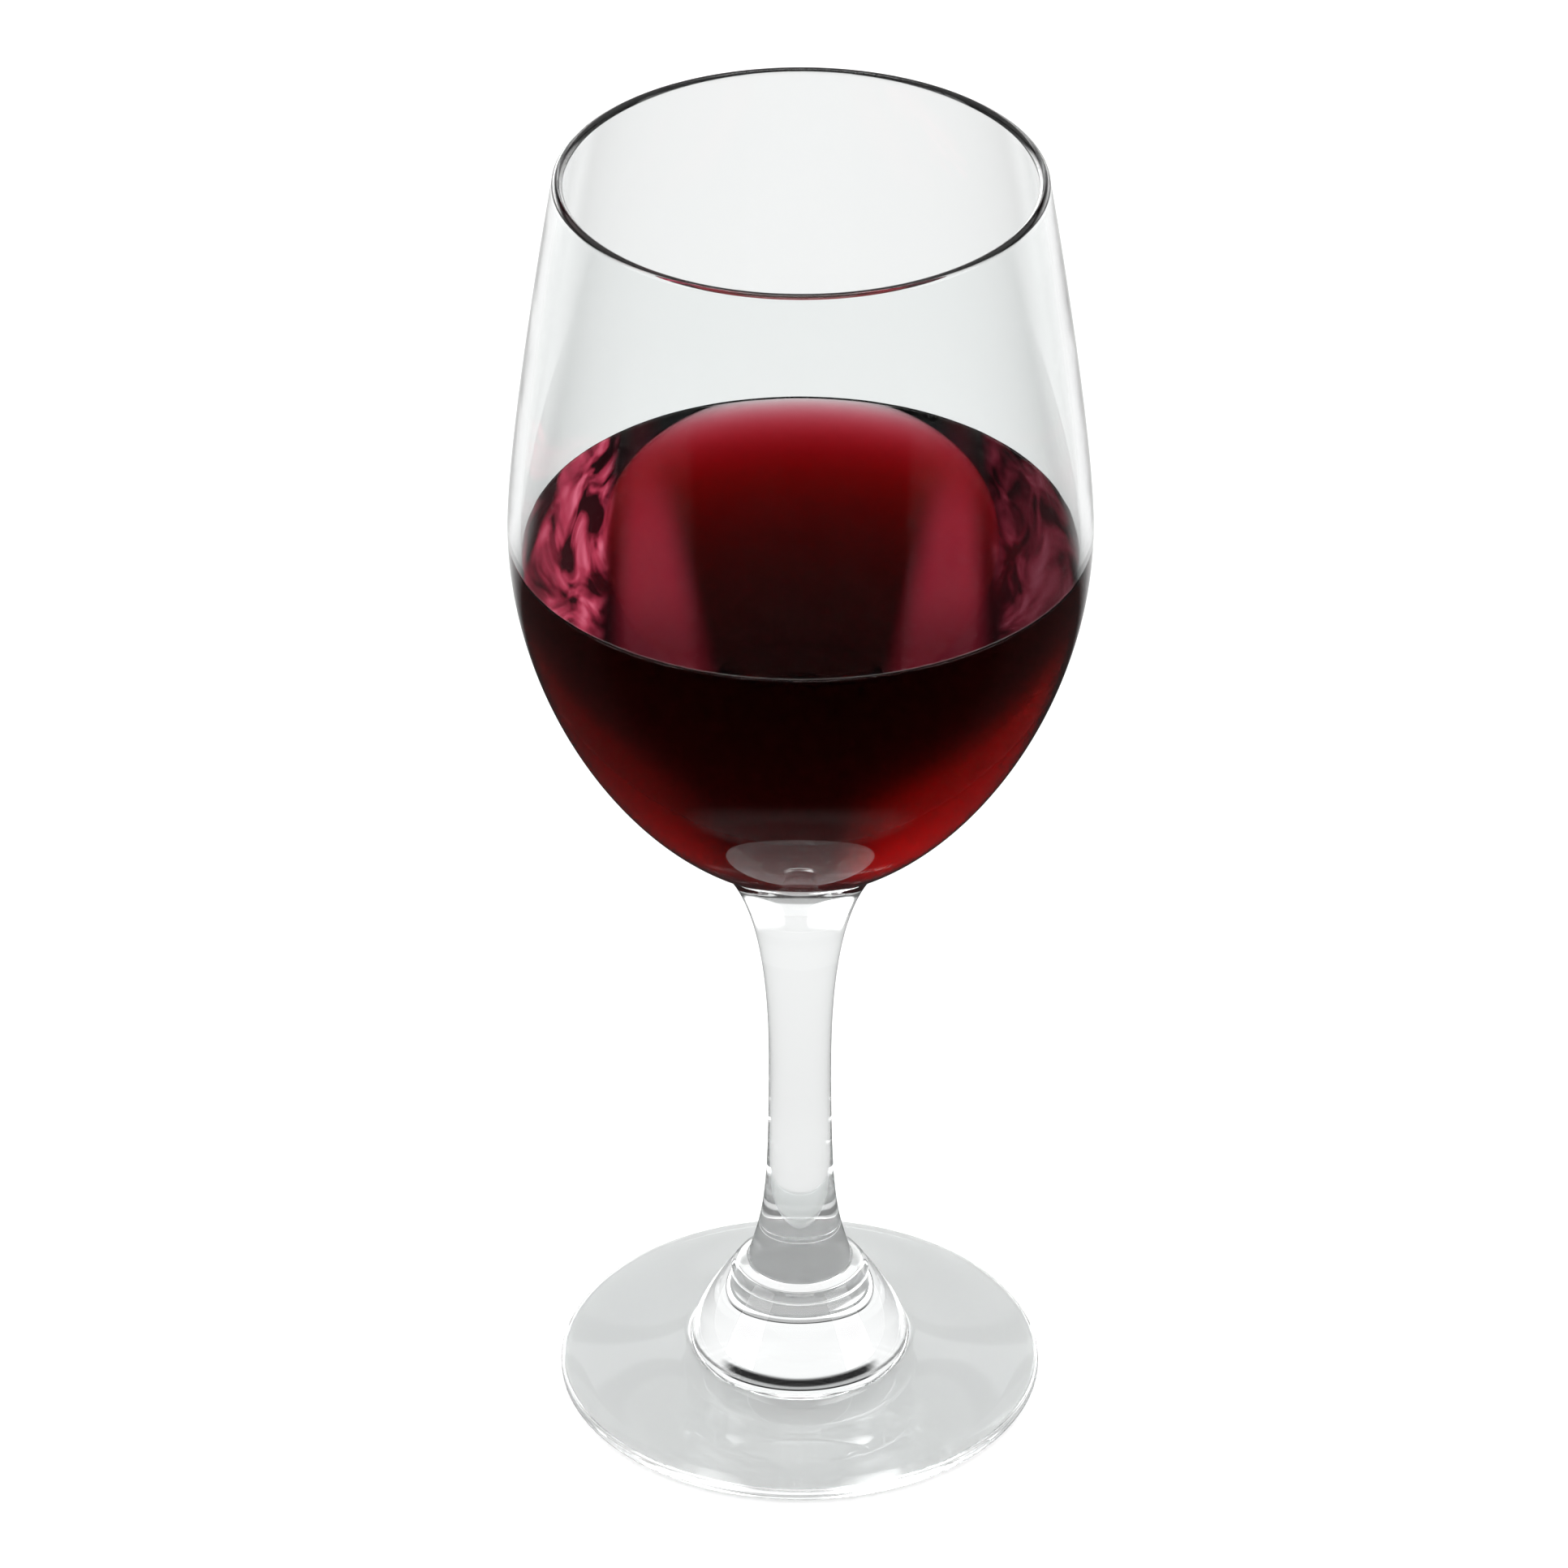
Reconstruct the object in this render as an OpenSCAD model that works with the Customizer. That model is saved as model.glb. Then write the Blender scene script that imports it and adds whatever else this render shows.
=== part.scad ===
// Stemmed red wine glass, half filled.
// The glass stands on the plane z = 0, and its axis is the Z axis.
// Bowl, stem, collar and foot are separate pieces of glass, welded hot face to face.
// The wine is a piece of its own, so that the glass can be used empty.

/* [Bowl] */
// Height of the rim above the table
glass_h = 178.4; // [174:0.2:186]
// Outside diameter just under the rim
rim_d = 61.8; // [58:0.2:66]
// Largest outside diameter
belly_d = 74.2; // [70:0.2:78]
// Height of the largest diameter
belly_z = 129; // [126:0.5:132]
// Height of the lowest point of the blown bowl
bowl_z = 77.8; // [77:0.1:79]
// Wall at the rim, which is also the diameter of the fire-polished lip
rim_t = 1.4; // [1:0.1:2]
// Wall at the largest diameter
belly_t = 1.6; // [1.2:0.1:2.2]
// Glass left in the middle of the floor
floor_t = 4.6; // [3.5:0.1:6]

/* [Stem] */
// Diameter at the waist of the stem
waist_d = 8.2; // [7:0.1:9.4]
// Height of the waist
waist_z = 48.5; // [44:0.5:53]
// Diameter where the stem meets the collar
stem_end_d = 13.8; // [13:0.1:13.9]

/* [Collar] */
// Diameter at the top of the collar
collar_top_d = 14; // [13.9:0.1:15]
// Diameter at the bottom of the collar
collar_base_d = 18.2; // [18:0.1:18.8]
// Height of the collar
collar_h = 1.8; // [1.4:0.1:2.4]

/* [Foot] */
// Diameter of the foot
foot_d = 63.8; // [60:0.2:70]
// Thickness of the rounded edge of the foot
edge_t = 1.7; // [1.4:0.1:2.2]
// Diameter of the dome in the middle of the foot
dome_d = 28.8; // [27:0.2:31]
// Height of the flat top of the dome
dome_h = 15.6; // [14:0.1:16.2]
// Diameter of the flat top of the dome
dome_top_d = 18; // [17:0.1:18]
// Width of the flat ring that the glass stands on
rest_w = 2.4; // [1.6:0.1:4]
// Depth of the shallow hollow under the foot
hollow_h = 1; // [0.4:0.1:1.4]

/* [Wine] */
// Height of the surface of the wine
wine_z = 127.8; // [100:0.2:150]

/* [Hidden] */
glass_tint = "aliceblue";
wine_tint = "darkred";
glass_alpha = 0.35;
turn_sides = 96;
curve_steps = 32;
lip_steps = 10;

rim_r = rim_d / 2;
belly_r = belly_d / 2;
waist_r = waist_d / 2;
foot_r = foot_d / 2;
lip_r = rim_t / 2;
lip_z = glass_h - lip_r;

// Lengths of the curve handles that set how full the bowl is
floor_handle = 18.2;
side_handle = 25.6;
shoulder_handle = 10;
rim_slope = 10;

// The head of the stem reaches this many steps up the underside of the bowl
head_step = 7;
neck_slope = 53;
neck_handle = 4.5;
waist_handle = 24;
flare_slope = 74;
flare_handle = 7;
lower_handle = 22.6;

collar_top_z = dome_h + collar_h;
collar_bulge = 0.25;

// One cubic curve from a to d, pulled towards b and c
function curve(a, b, c, d, steps) = [
    for (i = [0 : steps])
        let (t = i / steps, s = 1 - t)
        s * s * s * a + 3 * s * s * t * b + 3 * s * t * t * c + t * t * t * d
];

// Points on an arc about a centre, both ends included
function arc(centre, r, from, to, steps) = [
    for (i = [0 : steps])
        let (angle = from + (to - from) * i / steps)
        centre + r * [cos(angle), sin(angle)]
];

// A step of a given length in a given direction
function heading(angle, length) = length * [cos(angle), sin(angle)];

// A list without its first point, for joining two runs that share it
function rest(points) = [for (i = [1 : len(points) - 1]) points[i]];

function backwards(points) = [for (i = [len(points) - 1 : -1 : 0]) points[i]];

// Lower half of a bowl surface, from the axis up to its widest point
function lower_side(r, bottom) = curve(
    [0, bottom],
    [floor_handle, bottom],
    [r, belly_z - side_handle],
    [r, belly_z],
    curve_steps
);

// Upper half of a bowl surface, from its widest point up to the lip
function upper_side(r, top_r) = curve(
    [r, belly_z],
    [r, belly_z + shoulder_handle],
    [top_r, lip_z] - heading(90 + rim_slope, shoulder_handle),
    [top_r, lip_z],
    curve_steps
);

outer_lower = lower_side(belly_r, bowl_z);
inner_lower = lower_side(belly_r - belly_t, bowl_z + floor_t);
outer_upper = upper_side(belly_r, rim_r);
inner_upper = upper_side(belly_r - belly_t, rim_r - rim_t);
inner_side = concat(inner_lower, rest(inner_upper));

// Inside radius of the bowl at a given height
function inside_r(z) = lookup(z, [for (p = inner_side) [p[1], p[0]]]);

module turned(points) {
    rotate_extrude($fn = turn_sides)
        polygon(points);
}

// Blown bowl: a closed shell with a thick floor and a rounded lip
module bowl() {
    lip = arc([rim_r - lip_r, lip_z], lip_r, 0, 180, lip_steps);
    color(glass_tint, glass_alpha)
        turned(concat(outer_lower, rest(outer_upper), rest(lip), rest(backwards(inner_side))));
}

// Drawn stem: its flared head cups the floor of the bowl
module stem() {
    head = [for (i = [0 : head_step]) outer_lower[i]];
    head_edge = outer_lower[head_step];
    neck = curve(
        head_edge,
        head_edge - heading(neck_slope, neck_handle),
        [waist_r, waist_z + waist_handle],
        [waist_r, waist_z],
        curve_steps
    );
    flare_end = [stem_end_d / 2, collar_top_z];
    flare = curve(
        [waist_r, waist_z],
        [waist_r, waist_z - lower_handle],
        flare_end + heading(180 - flare_slope, flare_handle),
        flare_end,
        curve_steps
    );
    color(glass_tint, glass_alpha)
        turned(concat(head, rest(neck), rest(flare), [[0, collar_top_z]]));
}

// Collar: the small gob of glass that joins the stem to the foot
module collar() {
    top = [collar_top_d / 2, collar_top_z];
    base = [collar_base_d / 2, dome_h];
    bulge = (top + base) / 2 + [collar_bulge, collar_bulge];
    color(glass_tint, glass_alpha)
        turned(concat([[0, dome_h]], curve(base, bulge, bulge, top, lip_steps), [[0, collar_top_z]]));
}

// Foot: a thin disc with a rounded edge, a central dome and a shallow hollow underneath
module foot() {
    edge_r = edge_t / 2;
    edge_centre = [foot_r - edge_r, edge_r];
    dome_r = dome_d / 2;
    skirt = [dome_r + 1.2, 4.5];
    shoulder = [dome_r - 0.1, 5.6];
    dome_top = [dome_top_d / 2, dome_h];
    edge = arc(edge_centre, edge_r, -90, 90, lip_steps);
    disc = curve(edge_centre + [0, edge_r], [24, 2.7], [19, 4], skirt, curve_steps / 2);
    fillet = curve(skirt, skirt + [-0.8, 0.1], shoulder + [0.1, -0.7], shoulder, lip_steps);
    dome = curve(shoulder, shoulder + [-0.3, 2.6], dome_top + [2.3, -3], dome_top, curve_steps / 2);
    rest_inner = [foot_r - edge_r - rest_w, 0];
    hollow = curve([0, hollow_h], [10, hollow_h], rest_inner + [-6, 0.3], rest_inner, curve_steps / 2);
    color(glass_tint, glass_alpha)
        turned(concat(hollow, edge, rest(disc), rest(fillet), rest(dome), [[0, dome_h]]));
}

// Wine: fills the bowl from the floor to its flat surface
module wine() {
    wetted = [for (p = inner_side) if (p[1] < wine_z) p];
    color(wine_tint)
        turned(concat(wetted, [[inside_r(wine_z), wine_z], [0, wine_z]]));
}

bowl();
stem();
collar();
foot();
wine();
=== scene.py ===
"""Looks of the stemmed wine glass: smooth turned pieces, clear glass, red wine and a small studio."""

import math

import bmesh
import bpy
import numpy as np
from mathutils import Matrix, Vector


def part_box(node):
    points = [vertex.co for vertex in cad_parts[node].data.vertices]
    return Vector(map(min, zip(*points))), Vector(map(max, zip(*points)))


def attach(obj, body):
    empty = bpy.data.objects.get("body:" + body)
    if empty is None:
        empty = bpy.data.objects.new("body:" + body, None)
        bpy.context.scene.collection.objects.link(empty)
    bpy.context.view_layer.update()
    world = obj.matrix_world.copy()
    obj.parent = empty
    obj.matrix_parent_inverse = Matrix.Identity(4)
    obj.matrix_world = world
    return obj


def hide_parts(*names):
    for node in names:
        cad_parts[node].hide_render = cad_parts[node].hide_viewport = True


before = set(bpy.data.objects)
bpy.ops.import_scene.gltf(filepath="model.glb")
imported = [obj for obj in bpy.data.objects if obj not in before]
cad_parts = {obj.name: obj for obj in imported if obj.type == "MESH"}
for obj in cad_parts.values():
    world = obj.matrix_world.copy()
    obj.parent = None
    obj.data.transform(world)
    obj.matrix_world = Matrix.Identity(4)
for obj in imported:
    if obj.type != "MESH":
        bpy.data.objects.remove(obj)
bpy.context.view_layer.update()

MM = 0.001
SIDES = 256

# Corners of the CAD nodes, in metres
BOWL_LOW, BOWL_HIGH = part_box("bowl")
COLLAR_LOW, COLLAR_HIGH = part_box("collar")
FOOT_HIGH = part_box("foot")[1]
WINE_LOW, WINE_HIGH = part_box("wine")

# Bowl
RIM_Z = BOWL_HIGH.z
BOWL_Z = BOWL_LOW.z
BELLY_R = BOWL_HIGH.x
BELLY_Z = 129 * MM
RIM_R = 30.9 * MM
LIP_R = 0.7 * MM
LIP_Z = RIM_Z - LIP_R
BELLY_WALL = 1.6 * MM
FLOOR_WALL = WINE_LOW.z - BOWL_Z
FLOOR_HANDLE = 18.2 * MM
SIDE_HANDLE = 25.6 * MM
SHOULDER_HANDLE = 10 * MM
RIM_SLOPE = 10
HEAD_SHARE = 7 / 32

# Stem
WAIST_R = 4.1 * MM
WAIST_Z = 48.5 * MM
STEM_END_R = 6.9 * MM
NECK_SLOPE = 53
NECK_HANDLE = 4.5 * MM
WAIST_HANDLE = 24 * MM
FLARE_SLOPE = 74
FLARE_HANDLE = 7 * MM
LOWER_HANDLE = 22.6 * MM

# Collar and foot
COLLAR_TOP_R = 7 * MM
COLLAR_BASE_R = COLLAR_HIGH.x
COLLAR_BULGE = 0.25 * MM
FOOT_R = FOOT_HIGH.x
EDGE_R = 0.85 * MM
DOME_R = 14.4 * MM
DOME_TOP_R = 9 * MM
DOME_Z = FOOT_HIGH.z
REST_W = 2.4 * MM
HOLLOW_H = 1 * MM

# Wine
WINE_Z = WINE_HIGH.z
WINE_INTO_WALL = 0.15 * MM
MENISCUS_H = 0.1 * MM
MENISCUS_W = 0.5 * MM

# Finish
GLASS_IOR = 1.52
WINE_IOR = 1.344
WINE_SOAK_COLOUR = (0.80, 0.1375, 0.25, 1)
WINE_SOAK_DENSITY = 400
# Painted light: colours of the crimson glow of light patches and streaks on the wine's top face
PAINTED_PATCH_COLOUR = (0.19, 0.010, 0.023)
PAINTED_STREAK_STOPS = (
    (0.38, (0.01, 0.001, 0.002, 1)),
    (0.72, (0.75, 0.16, 0.25, 1)),
    (0.46, (0.16, 0.01, 0.025, 1)),
    (0.58, (0.45, 0.045, 0.09, 1)),
)

# Points along the outlines
FLOOR_STEPS = 96
HEAD_STEPS = round(FLOOR_STEPS * HEAD_SHARE)
SIDE_STEPS = 64

# Studio: levels are against white, azimuths are from straight behind the glass, in degrees
FLOOR_HALF = 4
FLOOR_DROP = 0.2 * MM
FLOOR_LEVEL = 0.95
# Painted shade: the floor's level when the glass shows it
FLOOR_LEVEL_IN_GLASS = 0.63
ROOM_LIGHT = 1.5
LEFT_GLOW = -28
RIGHT_GLOW = 34
GLOW_CORE = 8
GLOW_EDGE = 24
PANEL_CORE = 28
PANEL_EDGE = 40
SIDE_BANDS = ((-6, 0.0), (-3, 0.8), (14, 0.8), (18, 0.25), (26.5, 0.25), (28.5, 1.0))
BACK_BANDS = (
    (-6, 0.0), (-3, 1.05), (13, 1.05), (18, 0.5), (27.6, 0.5), (28.8, 0.02), (31.2, 0.02), (32.2, 1.0)
)
SOFTBOX_AIM = (0, 0, 0.1)
SOFTBOXES = (
    ("softbox_left", (-1.1, -0.5, 0.35), 0.8, 1.3, 3),
    ("softbox_right", (1.1, -0.5, 0.35), 0.8, 1.3, 3),
    ("softbox_top", (0, 0.3, 1.3), 0.7, 0.5, 4),
    ("softbox_front", (0, -0.8, 1.15), 0.9, 0.4, 5),
)
LIGHT_BOUNCES = 32

# Camera
CAMERA_ELEVATION = math.radians(31.44)
CAMERA_DISTANCE = 1149 * MM
CAMERA_TARGET = Vector((-2.1 * MM, 0, 90.7 * MM))
CAMERA_LENS = 205
CAMERA_SENSOR = 36


# ------------------------------------------------------------------ outlines


def curve(a, b, c, d, steps):
    """Points on one cubic curve from a to d, pulled towards b and c."""
    t = np.linspace(0, 1, steps + 1)[:, None]
    s = 1 - t
    a, b, c, d = (np.array(p, float) for p in (a, b, c, d))
    return s**3 * a + 3 * s * s * t * b + 3 * s * t * t * c + t**3 * d


def arc(centre, radius, start, end, steps):
    """Points on an arc, with angles in degrees and both ends included."""
    angles = np.radians(np.linspace(start, end, steps + 1))
    return np.array(centre) + radius * np.stack([np.cos(angles), np.sin(angles)], 1)


def heading(degrees, length):
    """A step of that length in that direction of the (r, z) plane."""
    angle = math.radians(degrees)
    return length * np.array([math.cos(angle), math.sin(angle)])


def joined(*runs):
    """Runs of points in a row, each sharing its first point with the run before."""
    return np.concatenate([runs[0]] + [run[1:] for run in runs[1:]])


def lower_side(radius, bottom, steps):
    """Lower half of a bowl surface, from the axis up to its widest point."""
    return curve(
        (0, bottom), (FLOOR_HANDLE, bottom), (radius, BELLY_Z - SIDE_HANDLE), (radius, BELLY_Z), steps
    )


def upper_side(radius, top_radius, steps):
    """Upper half of a bowl surface, from its widest point up to the lip."""
    top = np.array([top_radius, LIP_Z])
    return curve(
        (radius, BELLY_Z),
        (radius, BELLY_Z + SHOULDER_HANDLE),
        top - heading(90 + RIM_SLOPE, SHOULDER_HANDLE),
        top,
        steps,
    )


def inner_side():
    """Inside surface of the bowl, from the axis up to the lip."""
    inner_r = BELLY_R - BELLY_WALL
    return joined(
        lower_side(inner_r, BOWL_Z + FLOOR_WALL, FLOOR_STEPS),
        upper_side(inner_r, RIM_R - 2 * LIP_R, SIDE_STEPS),
    )


def turned(name, outline, materials, slot_of=None):
    """A solid of revolution from an outline that starts and ends on the axis."""
    angles = np.linspace(0, 2 * math.pi, SIDES, endpoint=False)
    bm = bmesh.new()
    rings = []
    for r, z in outline:
        if r < 1e-9:
            rings.append([bm.verts.new((0, 0, z))])
        else:
            rings.append([bm.verts.new((r * math.cos(a), r * math.sin(a), z)) for a in angles])
    for i in range(len(rings) - 1):
        low, high = rings[i], rings[i + 1]
        for j in range(SIDES):
            k = (j + 1) % SIDES
            if len(low) == 1:
                corners = (low[0], high[k], high[j])
            elif len(high) == 1:
                corners = (low[j], low[k], high[0])
            else:
                corners = (low[j], low[k], high[k], high[j])
            face = bm.faces.new(corners)
            face.smooth = True
            face.material_index = slot_of(i) if slot_of else 0
    bmesh.ops.recalc_face_normals(bm, faces=bm.faces)
    mesh = bpy.data.meshes.new(name)
    bm.to_mesh(mesh)
    bm.free()
    for material in materials:
        mesh.materials.append(material)
    piece = bpy.data.objects.new(name, mesh)
    bpy.context.scene.collection.objects.link(piece)
    return piece


def shown(piece, node):
    """Lets a piece stand for a CAD node."""
    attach(piece, "root")
    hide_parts(node)
    return piece


# ---------------------------------------------------------------- materials


class Tree:
    """A node tree with short calls for the nodes used here. Each call gives back an output."""

    def __init__(self, tree):
        self.nodes = tree.nodes
        self.links = tree.links

    def add(self, kind, **settings):
        """A new node, with its settings."""
        node = self.nodes.new("ShaderNode" + kind)
        for name, value in settings.items():
            setattr(node, name, value)
        return node

    def feed(self, socket, value):
        """Links an output to a socket, or sets the socket to a plain value."""
        if isinstance(value, bpy.types.NodeSocket):
            self.links.new(value, socket)
        else:
            socket.default_value = value

    def maths(self, operation, a, b=0.0):
        node = self.add("Math", operation=operation)
        self.feed(node.inputs[0], a)
        self.feed(node.inputs[1], b)
        return node.outputs["Value"]

    def vector(self, operation, a, b=None, output="Vector"):
        node = self.add("VectorMath", operation=operation)
        self.feed(node.inputs[0], a)
        if b is not None:
            self.feed(node.inputs["Scale" if operation == "SCALE" else 1], b)
        return node.outputs[output]

    def ranged(self, value, start, end, low=0.0, high=1.0, kind="LINEAR"):
        """Maps start...end to low...high, and stays there past both ends."""
        node = self.add("MapRange", interpolation_type=kind)
        self.feed(node.inputs["Value"], value)
        for name, number in (("From Min", start), ("From Max", end), ("To Min", low), ("To Max", high)):
            node.inputs[name].default_value = number
        return node.outputs["Result"]

    def step(self, value, start, end, low=0.0, high=1.0):
        """A soft step from low at start to high at end."""
        return self.ranged(value, start, end, low, high, "SMOOTHSTEP")

    def noise(self, place, scale, detail, distortion=0.0):
        node = self.add("TexNoise")
        self.feed(node.inputs["Vector"], place)
        node.inputs["Scale"].default_value = scale
        node.inputs["Detail"].default_value = detail
        node.inputs["Distortion"].default_value = distortion
        return node.outputs["Fac"]

    def ramp(self, value, levels, interpolation="LINEAR"):
        """A colour ramp through (position, colour) pairs."""
        node = self.add("ValToRGB")
        node.color_ramp.interpolation = interpolation
        stops = node.color_ramp.elements
        for stop, (position, colour) in zip(stops, levels):
            stop.position, stop.color = position, colour
        for position, colour in levels[2:]:
            stops.new(position).color = colour
        self.feed(node.inputs["Fac"], value)
        return node.outputs["Color"]

    def mixed(self, share, first, second):
        node = self.add("MixRGB")
        for name, value in (("Fac", share), ("Color1", first), ("Color2", second)):
            self.feed(node.inputs[name], value)
        return node.outputs["Color"]

    def parts(self, place):
        """The X, Y and Z outputs of a vector."""
        return self.feed_into("SeparateXYZ", "Vector", place).outputs

    def level_direction(self, place):
        """The direction of a place seen from the middle, laid flat."""
        return self.vector("NORMALIZE", self.vector("MULTIPLY", place, (1, 1, 0)))

    def feed_into(self, kind, socket, value):
        node = self.add(kind)
        self.feed(node.inputs[socket], value)
        return node


def new_material(name):
    """A new material with its tree and its shader."""
    material = bpy.data.materials.new(name)
    material.use_nodes = True
    tree = Tree(material.node_tree)
    return material, tree, tree.nodes["Principled BSDF"]


def clear_glass(name, specular):
    """Clear soda-lime glass with the faint ripples that blowing and pressing leave."""
    material, tree, shader = new_material(name)
    shader.inputs["IOR"].default_value = GLASS_IOR
    shader.inputs["Transmission Weight"].default_value = 1
    shader.inputs["Specular Tint"].default_value = (specular, specular, specular, 1)
    place = tree.add("TexCoord").outputs["Object"]
    bump = tree.feed_into("Bump", "Height", tree.noise(place, 60, 2))
    bump.inputs["Strength"].default_value = 0.02
    bump.inputs["Distance"].default_value = 0.001
    tree.feed(shader.inputs["Normal"], bump.outputs["Normal"])
    smear = tree.noise(place, 25, 4)
    tree.feed(shader.inputs["Roughness"], tree.ranged(smear, 0.4, 0.8, 0, 0.02))
    tint = tree.mixed(smear, (0.985, 0.995, 0.992, 1), (0.97, 0.99, 0.988, 1))
    tree.feed(shader.inputs["Base Color"], tint)
    return material


def painted_wine_glow(tree):
    """Painted light: crimson light patches and streaks near the wine's wall, painted as a glow on its
    top face.
    """
    place = tree.add("TexCoord").outputs["Object"]
    facing = tree.parts(tree.add("NewGeometry").outputs["Normal"])
    split = tree.parts(place)
    across, along = split["X"], split["Y"]
    out = tree.maths("ABSOLUTE", across)

    # Painted light patches, slanted, left and right on the top face
    slant = tree.maths("SUBTRACT", out, tree.maths("MULTIPLY", along, 0.136))
    patch = tree.step(slant, 0.0138, 0.0182)
    for fade in (
        tree.step(out, 0.0205, 0.0238, 1, 0.1),
        tree.step(along, 0.0, 0.022, 1, 0.1),
        tree.step(along, -0.03, -0.01, 0.45, 1),
    ):
        patch = tree.maths("MULTIPLY", patch, fade)

    # Painted streaks of light, in crescents along the wall
    painted_crescent = tree.step(out, 0.0236, 0.0256)
    for fade in (tree.step(out, 0.0345, 0.0353, 1, 0.3), tree.step(across, -0.01, 0.01, 1, 0.22)):
        painted_crescent = tree.maths("MULTIPLY", painted_crescent, fade)

    squares = [tree.maths("MULTIPLY", side, side) for side in (across, along)]
    radius = tree.maths("SQRT", tree.maths("ADD", *squares))
    around = tree.maths("MULTIPLY", tree.maths("ARCTAN2", along, out), 0.0075)
    stretch = tree.add("CombineXYZ")
    for name, value in (("X", radius), ("Y", around), ("Z", across)):
        tree.feed(stretch.inputs[name], value)
    painted_streaks = tree.ramp(tree.noise(stretch.outputs["Vector"], 230, 2, 1.1), PAINTED_STREAK_STOPS)

    both = tree.vector(
        "ADD", tree.vector("SCALE", painted_streaks, painted_crescent), tree.vector("SCALE", PAINTED_PATCH_COLOUR, patch)
    )
    return tree.vector("SCALE", both, tree.step(facing["Z"], 0.9, 0.99))


def red_wine():
    """Red wine: clear, but it soaks up green and blue light within a few millimetres. Its top face
    carries a painted crimson glow.
    """
    material, tree, shader = new_material("red_wine")
    shader.inputs["Base Color"].default_value = (1, 1, 1, 1)
    shader.inputs["IOR"].default_value = WINE_IOR
    shader.inputs["Transmission Weight"].default_value = 1
    shader.inputs["Roughness"].default_value = 0
    shader.inputs["Specular Tint"].default_value = (0.5, 0.5, 0.5, 1)
    tree.feed(shader.inputs["Emission Color"], painted_wine_glow(tree))
    shader.inputs["Emission Strength"].default_value = 1
    soak = tree.add("VolumeAbsorption")
    soak.inputs["Color"].default_value = WINE_SOAK_COLOUR
    soak.inputs["Density"].default_value = WINE_SOAK_DENSITY
    tree.feed(tree.nodes["Material Output"].inputs["Volume"], soak.outputs["Volume"])
    return material


def weld_face(name):
    """Inside a weld the two glasses are one, so light passes with no surface to see."""
    material, tree, shader = new_material(name)
    tree.nodes.remove(shader)
    clear = tree.add("BsdfTransparent")
    tree.feed(tree.nodes["Material Output"].inputs["Surface"], clear.outputs["BSDF"])
    return material


GLASS = clear_glass("clear_glass", 0.5)
WETTED = clear_glass("wetted_glass", 0.05)
RED_WINE = red_wine()
WELD = weld_face("weld")


# ------------------------------------------------------------------- pieces


def make_bowl():
    outer = joined(
        lower_side(BELLY_R, BOWL_Z, FLOOR_STEPS), upper_side(BELLY_R, RIM_R, SIDE_STEPS)
    )
    lip = arc((RIM_R - LIP_R, LIP_Z), LIP_R, 0, 180, 16)
    outline = joined(outer, lip, inner_side()[::-1])
    inside_start = len(outer) + len(lip) - 2
    first_wet = next(i for i, p in enumerate(outline) if i > inside_start and p[1] < WINE_Z)

    def slot_of(i):
        if i < HEAD_STEPS:
            return 2
        return 1 if i >= first_wet else 0

    bowl = turned("bowl_glass", outline, [GLASS, WETTED, WELD], slot_of)
    return shown(bowl, "bowl")


def make_stem():
    head = lower_side(BELLY_R, BOWL_Z, FLOOR_STEPS)[: HEAD_STEPS + 1]
    edge = head[-1]
    waist = np.array([WAIST_R, WAIST_Z])
    neck = curve(edge, edge - heading(NECK_SLOPE, NECK_HANDLE), waist + (0, WAIST_HANDLE), waist, 80)
    end = np.array([STEM_END_R, COLLAR_HIGH.z])
    above_end = end + heading(180 - FLARE_SLOPE, FLARE_HANDLE)
    flare = curve(waist, waist - (0, LOWER_HANDLE), above_end, end, 64)
    outline = joined(head, neck, flare, np.array([end, (0, COLLAR_HIGH.z)]))

    def slot_of(i):
        return 1 if i < HEAD_STEPS or i == len(outline) - 2 else 0

    return shown(turned("stem_glass", outline, [GLASS, WELD], slot_of), "stem")


def make_collar():
    top = np.array([COLLAR_TOP_R, COLLAR_HIGH.z])
    base = np.array([COLLAR_BASE_R, COLLAR_LOW.z])
    bulge = (top + base) / 2 + np.array([COLLAR_BULGE, COLLAR_BULGE])
    side = curve(base, bulge, bulge, top, 24)
    outline = joined(np.array([(0, COLLAR_LOW.z), base]), side, np.array([top, (0, COLLAR_HIGH.z)]))

    def slot_of(i):
        return 1 if i in (0, len(outline) - 2) else 0

    return shown(turned("collar_glass", outline, [GLASS, WELD], slot_of), "collar")


def make_foot():
    centre = np.array([FOOT_R - EDGE_R, EDGE_R])
    edge = arc(centre, EDGE_R, -90, 90, 20)
    skirt = np.array([DOME_R + 1.2 * MM, 4.5 * MM])
    shoulder = np.array([DOME_R - 0.1 * MM, 5.6 * MM])
    top = np.array([DOME_TOP_R, DOME_Z])
    disc = curve(centre + (0, EDGE_R), (24 * MM, 2.7 * MM), (19 * MM, 4 * MM), skirt, 40)
    fillet = curve(skirt, skirt + (-0.8 * MM, 0.1 * MM), shoulder + (0.1 * MM, -0.7 * MM), shoulder, 20)
    dome = curve(shoulder, shoulder + (-0.3 * MM, 2.6 * MM), top + (2.3 * MM, -3 * MM), top, 40)
    rest_inner = np.array([FOOT_R - EDGE_R - REST_W, 0])
    hollow = curve((0, HOLLOW_H), (10 * MM, HOLLOW_H), rest_inner + (-6 * MM, 0.3 * MM), rest_inner, 40)
    rest = np.array([rest_inner, edge[0]])
    outline = joined(hollow, rest, edge, disc, fillet, dome, np.array([top, (0, DOME_Z)]))

    def slot_of(i):
        return 1 if i == len(outline) - 2 else 0

    return shown(turned("foot_glass", outline, [GLASS, WELD], slot_of), "foot")


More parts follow.
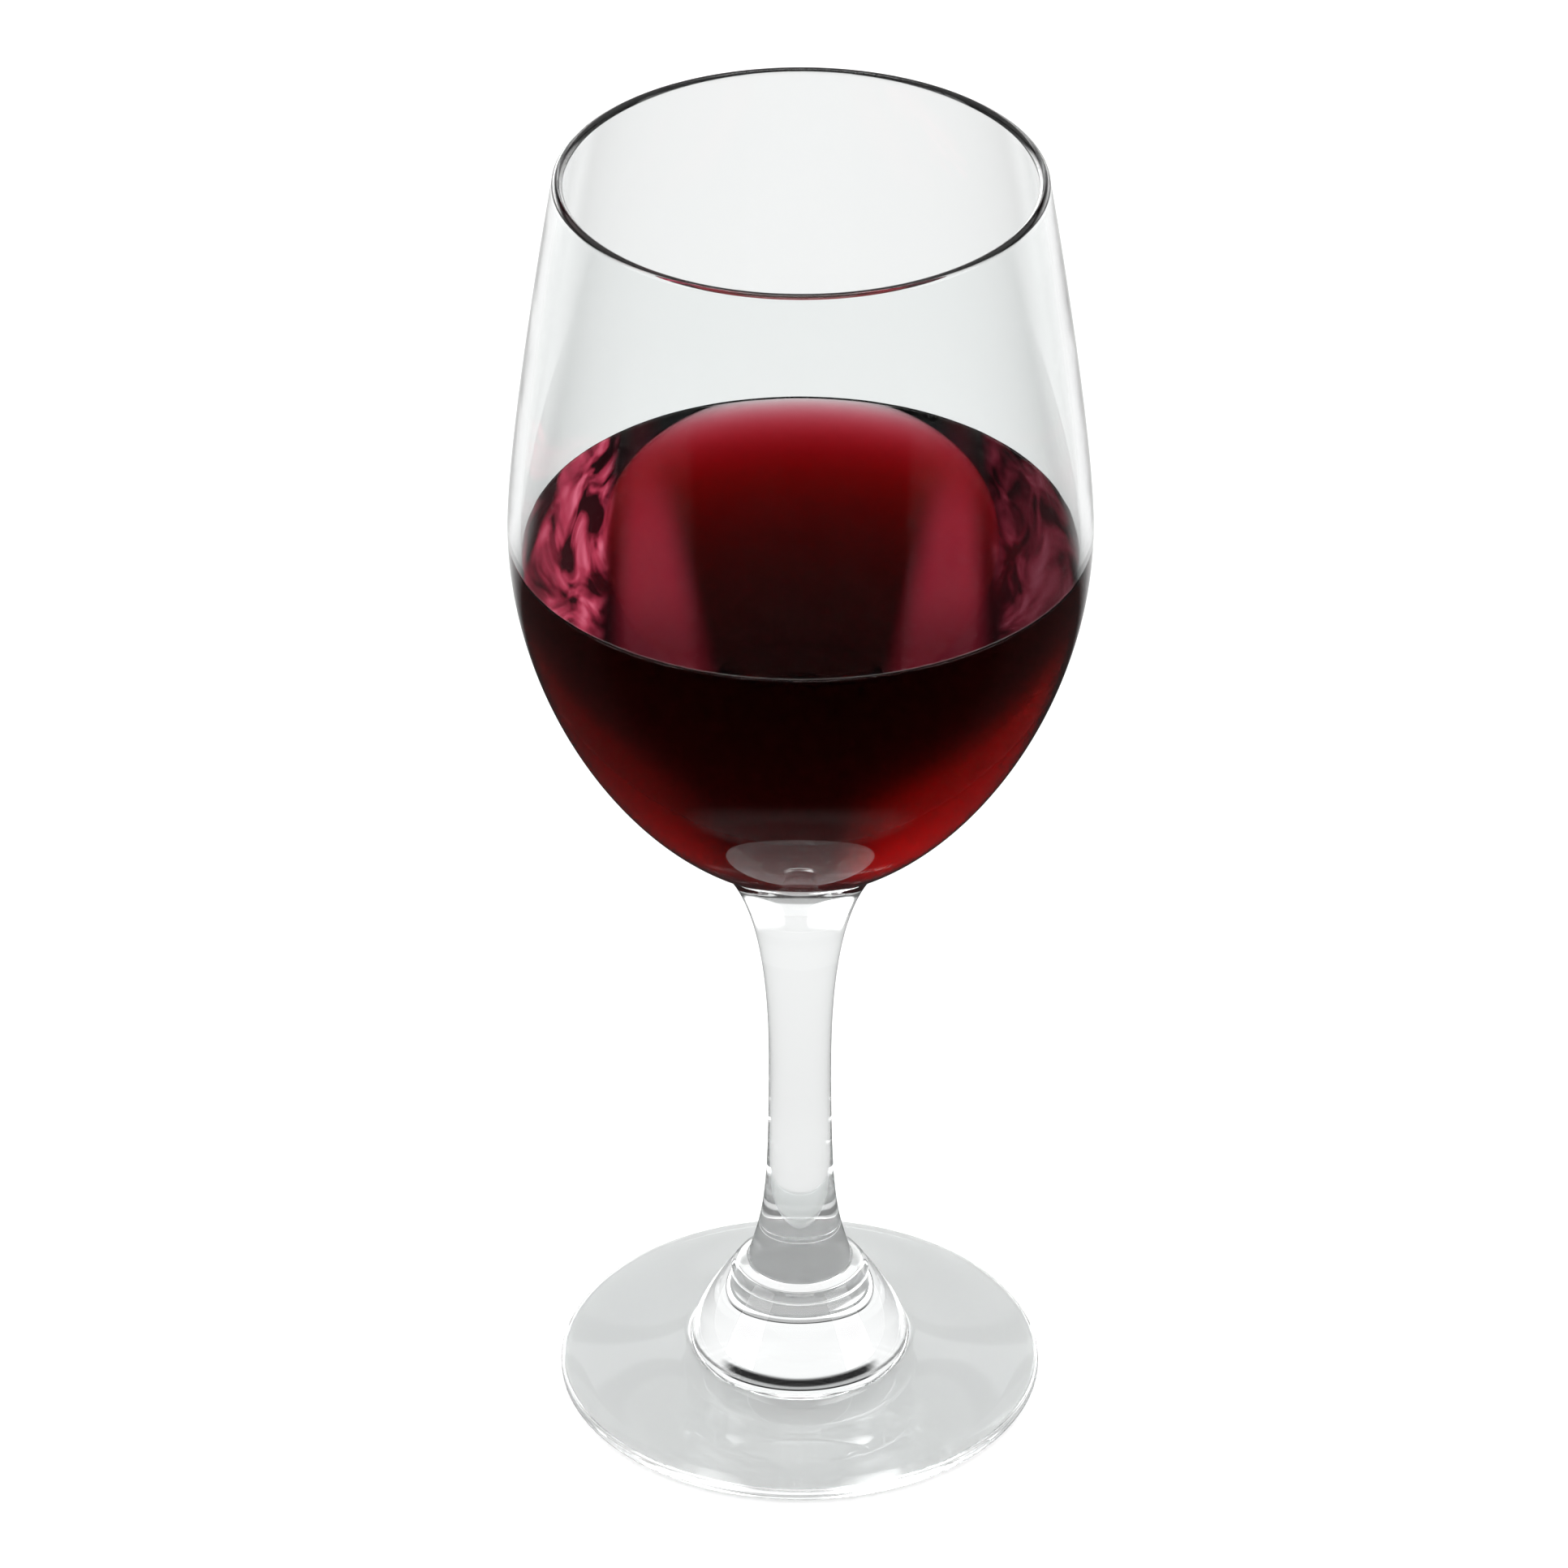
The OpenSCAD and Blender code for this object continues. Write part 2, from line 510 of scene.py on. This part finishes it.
def make_wine():
    inside = inner_side()
    wall_r = np.interp(WINE_Z, inside[:, 1], inside[:, 0])
    wetted = inside[inside[:, 1] < WINE_Z]
    tangent = np.gradient(wetted, axis=0)
    tangent /= np.linalg.norm(tangent, axis=1)[:, None]
    outward = np.stack([tangent[:, 1], -tangent[:, 0]], 1)
    side = wetted + WINE_INTO_WALL * outward
    side[0, 0] = 0
    climb = np.linspace(0, 1, 24)
    meniscus = np.stack(
        [wall_r + WINE_INTO_WALL - MENISCUS_W * climb, WINE_Z + MENISCUS_H * (1 - climb) ** 2.5], 1
    )
    outline = np.concatenate([side, meniscus, [(0, WINE_Z)]])
    return shown(turned("wine_body", outline, [RED_WINE]), "wine")


make_bowl()
make_stem()
make_collar()
make_foot()
make_wine()


# ------------------------------------------------------------------- studio


def glow(tree, place, azimuth, elevation, strength):
    """A soft round patch in that direction: full inside GLOW_CORE, gone at GLOW_EDGE degrees."""
    az, el = math.radians(azimuth), math.radians(elevation)
    direction = (math.sin(az) * math.cos(el), math.cos(az) * math.cos(el), math.sin(el))
    lined_up = tree.vector("DOT_PRODUCT", place, direction, "Value")
    gone, full = (math.cos(math.radians(angle)) for angle in (GLOW_EDGE, GLOW_CORE))
    return tree.step(lined_up, gone, full, 0, strength)


def floor_level(tree, path, through, place, span):
    """How pale the floor is: even where it is seen directly, and shaded where the glass shows it."""
    behind = tree.parts(place)["Y"]
    # Painted shade: after a reflection the floor is near black in front and at the sides, paler under
    # the glass and behind; seen in the glass at all it is dimmer
    under = tree.maths("MULTIPLY", tree.step(span, 0.035, 0.055, 0.68, 0), through)
    lit = tree.maths("MAXIMUM", under, tree.step(behind, 0.15, 0.22))
    mirrored = tree.maths("MAXIMUM", lit, tree.step(behind, -0.06, 0, 0.01, 0.03))
    direct = tree.maths("LESS_THAN", path["Glossy Depth"], 0.5)
    in_glass = tree.maths("MAXIMUM", through, path["Is Glossy Ray"])
    base = tree.ranged(in_glass, 0, 1, FLOOR_LEVEL, FLOOR_LEVEL_IN_GLASS)
    return tree.maths("MULTIPLY", tree.maths("MAXIMUM", mirrored, direct), base)


def painted_floor_pools(tree, through, place, span):
    """Two painted pools of light far behind: the floor glows there, only for light that has passed
    through glass.
    """
    away = tree.level_direction(place)
    pools = tree.maths("ADD", glow(tree, away, LEFT_GLOW, 0, 7), glow(tree, away, RIGHT_GLOW, 0, 2.6))
    return tree.maths("MULTIPLY", tree.maths("MULTIPLY", pools, tree.step(span, 0.39, 0.9)), through)


def make_floor():
    """A wide pale floor. The glass shows it with painted shade and painted pools of light that the
    camera doesn't see.
    """
    bm = bmesh.new()
    bmesh.ops.create_grid(bm, x_segments=8, y_segments=8, size=FLOOR_HALF)
    mesh = bpy.data.meshes.new("studio_floor")
    bm.to_mesh(mesh)
    bm.free()
    material, tree, shader = new_material("studio_floor")
    shader.inputs["Roughness"].default_value = 1
    shader.inputs["Specular IOR Level"].default_value = 0
    path = tree.add("LightPath").outputs
    place = tree.add("TexCoord").outputs["Object"]
    span = tree.vector("LENGTH", place, output="Value")
    through = tree.maths("GREATER_THAN", path["Transmission Depth"], 0.5)
    tree.feed(shader.inputs["Base Color"], floor_level(tree, path, through, place, span))
    shader.inputs["Emission Color"].default_value = (1, 1, 1, 1)
    tree.feed(shader.inputs["Emission Strength"], painted_floor_pools(tree, through, place, span))
    mesh.materials.append(material)
    floor = bpy.data.objects.new("studio_floor", mesh)
    bpy.context.scene.collection.objects.link(floor)
    floor.location.z = -FLOOR_DROP


def make_world():
    """Plain white for the camera and the floor; bands and two glows that only the glass shows."""
    world = bpy.data.worlds.new("studio")
    bpy.context.scene.world = world
    world.use_nodes = True
    tree = Tree(world.node_tree)
    even = tree.nodes["Background"]
    even.inputs["Color"].default_value = (1, 1, 1, 1)
    even.inputs["Strength"].default_value = ROOM_LIGHT
    place = tree.add("TexCoord").outputs["Generated"]
    height = tree.ranged(tree.parts(place)["Z"], -1, 1)

    def bands(levels):
        """A brightness for each elevation in degrees."""
        stops = [
            ((math.sin(math.radians(elevation)) + 1) / 2, (level, level, level, 1))
            for elevation, level in levels
        ]
        return tree.ramp(height, stops, "EASE")

    towards_back = tree.parts(tree.level_direction(place))["Y"]
    edge, core = (math.cos(math.radians(angle)) for angle in (PANEL_EDGE, PANEL_CORE))
    level = tree.mixed(tree.step(towards_back, edge, core), bands(SIDE_BANDS), bands(BACK_BANDS))
    glows = tree.maths("ADD", glow(tree, place, LEFT_GLOW, 2, 7), glow(tree, place, RIGHT_GLOW, 3, 3))
    backdrop = tree.feed_into("Background", "Color", tree.vector("ADD", level, glows))

    path = tree.add("LightPath").outputs
    scattered = tree.maths("GREATER_THAN", path["Diffuse Depth"], 0.5)
    plain = tree.maths("MAXIMUM", scattered, path["Is Camera Ray"])
    mix = tree.feed_into("MixShader", "Fac", plain)
    tree.feed(mix.inputs[1], backdrop.outputs["Background"])
    tree.feed(mix.inputs[2], even.outputs["Background"])
    tree.feed(tree.nodes["World Output"].inputs["Surface"], mix.outputs["Shader"])


def softbox(name, position, width, height, strength):
    """A soft rectangular light that shows in the glass and leaves the floor even."""
    light = bpy.data.lights.new(name, "AREA")
    light.shape = "RECTANGLE"
    light.size = width
    light.size_y = height
    light.energy = strength * width * height * math.pi
    lamp = bpy.data.objects.new(name, light)
    bpy.context.scene.collection.objects.link(lamp)
    lamp.location = position
    aim = Vector(SOFTBOX_AIM) - Vector(position)
    lamp.rotation_euler = aim.to_track_quat("-Z", "Y").to_euler()
    lamp.visible_diffuse = False
    lamp.visible_camera = False


def make_camera():
    data = bpy.data.cameras.new("camera")
    data.lens = CAMERA_LENS
    data.sensor_width = CAMERA_SENSOR
    camera = bpy.data.objects.new("camera", data)
    bpy.context.scene.collection.objects.link(camera)
    away = Vector((0, -math.cos(CAMERA_ELEVATION), math.sin(CAMERA_ELEVATION)))
    camera.location = CAMERA_TARGET + CAMERA_DISTANCE * away
    camera.rotation_euler = (-away).to_track_quat("-Z", "Y").to_euler()
    bpy.context.scene.camera = camera


make_floor()
make_world()
for box in SOFTBOXES:
    softbox(*box)
make_camera()
scene = bpy.context.scene
scene.view_settings.view_transform = "Standard"
scene.cycles.max_bounces = LIGHT_BOUNCES
scene.cycles.transmission_bounces = LIGHT_BOUNCES
scene.cycles.glossy_bounces = LIGHT_BOUNCES
